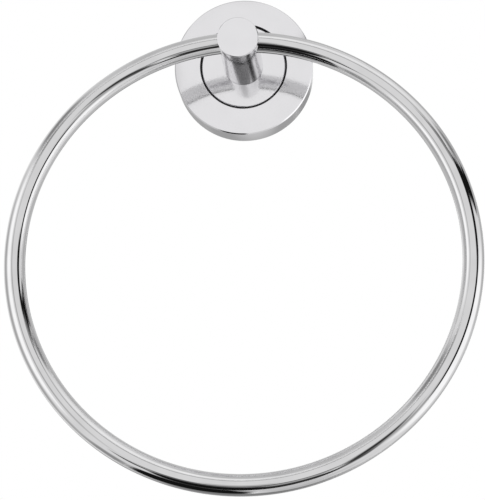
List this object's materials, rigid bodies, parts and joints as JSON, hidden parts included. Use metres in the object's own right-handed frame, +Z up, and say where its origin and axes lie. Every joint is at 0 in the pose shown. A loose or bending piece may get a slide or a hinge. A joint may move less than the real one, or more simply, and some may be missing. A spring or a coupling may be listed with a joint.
{
  "type": "towel ring",
  "caption": "Wall-mounted towel ring: a round bar bent to a hoop, clamped in a short round post on a round domed cover plate with a separate centre disc.",
  "frame": {"origin": "on the post's axis, in the plane of the wall, midway between the two screw slots", "axes": "+Y into the wall, so the front faces -Y; +Z up; +X to the right as seen from the front"},
  "size_m": [0.18, 0.0709, 0.203],
  "materials": {
    "chrome": "polished chrome plate",
    "rubber": "black moulded rubber",
    "zinc": "dull zinc casting",
    "steel": "bright zinc-plated steel"
  },
  "bodies": {
    "root": {"hoop": "chrome", "post": "chrome", "foot": "chrome", "cover_plate": "chrome", "seal_ring": "rubber", "wall_bracket": "zinc", "clamp_screw": "steel", "post_screw": "steel", "lock_washer": "steel", "lock_screw": "steel"}
  },
  "joints": []
}
